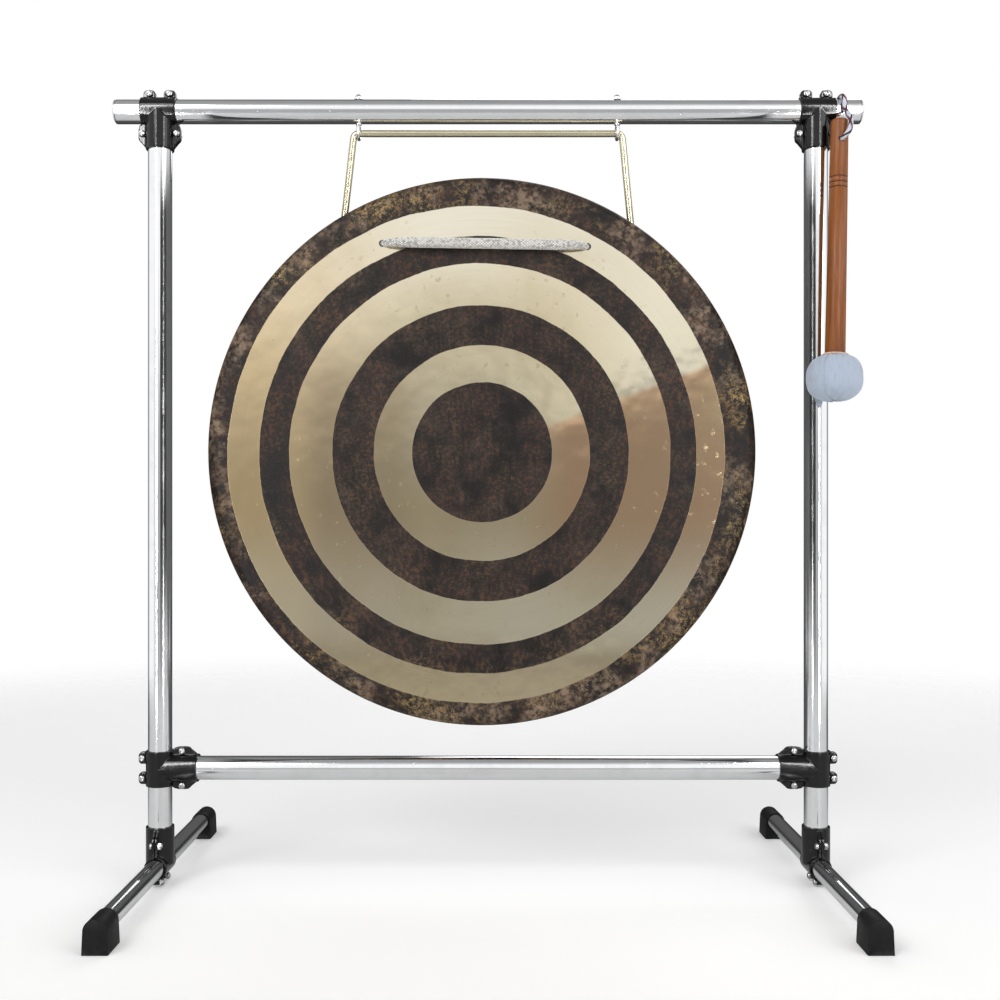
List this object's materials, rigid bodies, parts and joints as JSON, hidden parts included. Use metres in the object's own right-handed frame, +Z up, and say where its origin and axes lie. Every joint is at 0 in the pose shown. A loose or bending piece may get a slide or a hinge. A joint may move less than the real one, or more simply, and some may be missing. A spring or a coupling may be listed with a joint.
{
  "type": "tam tam gong on a stand",
  "caption": "Bronze tam tam gong with scraped rings, hung by cords in a free-standing chromed tube stand, with a padded mallet hung on the rail.",
  "frame": {"origin": "on the floor, midway between the four feet", "axes": "+X along the top rail to the end that carries the mallet, +Y from the front of the gong to its back, +Z up"},
  "size_m": [0.8912, 0.46, 0.9448],
  "materials": {
    "tube_chrome": "polished chrome plating on steel tube",
    "plug_chrome": "chromed domed end cap",
    "eye_chrome": "chromed steel eye bolt and domed nut",
    "clamp_black": "glossy black coating on pressed steel",
    "bolt_zinc": "bright zinc plating",
    "foot_rubber": "satin black moulded rubber",
    "gong_bronze": "hammered bronze, scraped bright rings between dark fired rings",
    "gold_cord": "smooth gold-coloured cord",
    "white_cord": "off-white braided cord",
    "flecked_cord": "white cord with red and dark flecks",
    "handle_wood": "satin varnished hardwood",
    "head_fabric": "pale blue-white woven cloth with stitched gathers",
    "head_felt": "peach felt"
  },
  "bodies": {
    "stand": {"cross_rail": "tube_chrome", "front_left_foot": "foot_rubber", "front_right_foot": "foot_rubber", "left_acorn_nut": "eye_chrome", "left_base_clamp_back": "clamp_black", "left_base_clamp_bolt_1": "bolt_zinc", "left_base_clamp_bolt_2": "bolt_zinc", "left_base_clamp_bolt_3": "bolt_zinc", "left_base_clamp_bolt_4": "bolt_zinc", "left_base_clamp_front": "clamp_black", "left_eye_bolt": "eye_chrome", "left_leg": "tube_chrome", "left_mid_clamp_back": "clamp_black", "left_mid_clamp_bolt_1": "bolt_zinc", "left_mid_clamp_bolt_2": "bolt_zinc", "left_mid_clamp_bolt_3": "bolt_zinc", "left_mid_clamp_bolt_4": "bolt_zinc", "left_mid_clamp_front": "clamp_black", "left_rail_plug": "plug_chrome", "left_top_clamp_back": "clamp_black", "left_top_clamp_bolt_1": "bolt_zinc", "left_top_clamp_bolt_2": "bolt_zinc", "left_top_clamp_bolt_3": "bolt_zinc", "left_top_clamp_bolt_4": "bolt_zinc", "left_top_clamp_front": "clamp_black", "left_upright": "tube_chrome", "rear_left_foot": "foot_rubber", "rear_right_foot": "foot_rubber", "right_acorn_nut": "eye_chrome", "right_base_clamp_back": "clamp_black", "right_base_clamp_bolt_1": "bolt_zinc", "right_base_clamp_bolt_2": "bolt_zinc", "right_base_clamp_bolt_3": "bolt_zinc", "right_base_clamp_bolt_4": "bolt_zinc", "right_base_clamp_front": "clamp_black", "right_eye_bolt": "eye_chrome", "right_leg": "tube_chrome", "right_mid_clamp_back": "clamp_black", "right_mid_clamp_bolt_1": "bolt_zinc", "right_mid_clamp_bolt_2": "bolt_zinc", "right_mid_clamp_bolt_3": "bolt_zinc", "right_mid_clamp_bolt_4": "bolt_zinc", "right_mid_clamp_front": "clamp_black", "right_rail_plug": "plug_chrome", "right_top_clamp_back": "clamp_black", "right_top_clamp_bolt_1": "bolt_zinc", "right_top_clamp_bolt_2": "bolt_zinc", "right_top_clamp_bolt_3": "bolt_zinc", "right_top_clamp_bolt_4": "bolt_zinc", "right_top_clamp_front": "clamp_black", "right_upright": "tube_chrome", "top_rail": "tube_chrome"},
    "gong": {"gong_plate": "gong_bronze", "hanging_cord": "gold_cord", "front_cord": "white_cord"},
    "mallet": {"mallet_handle": "handle_wood", "mallet_head_cover": "head_fabric", "mallet_core": "head_felt", "wrist_cord": "flecked_cord"}
  },
  "joints": [
    {"name": "gong_swing", "type": "hinge", "parent": "stand", "child": "gong", "pos_m": [0, 0, 0.894], "axis": [1, 0, 0], "range_deg": [-25, 25]},
    {"name": "mallet_swing", "type": "hinge", "parent": "stand", "child": "mallet", "pos_m": [0.412, 0, 0.92], "axis": [-1, 0, 0], "range_deg": [0, 75]}
  ]
}
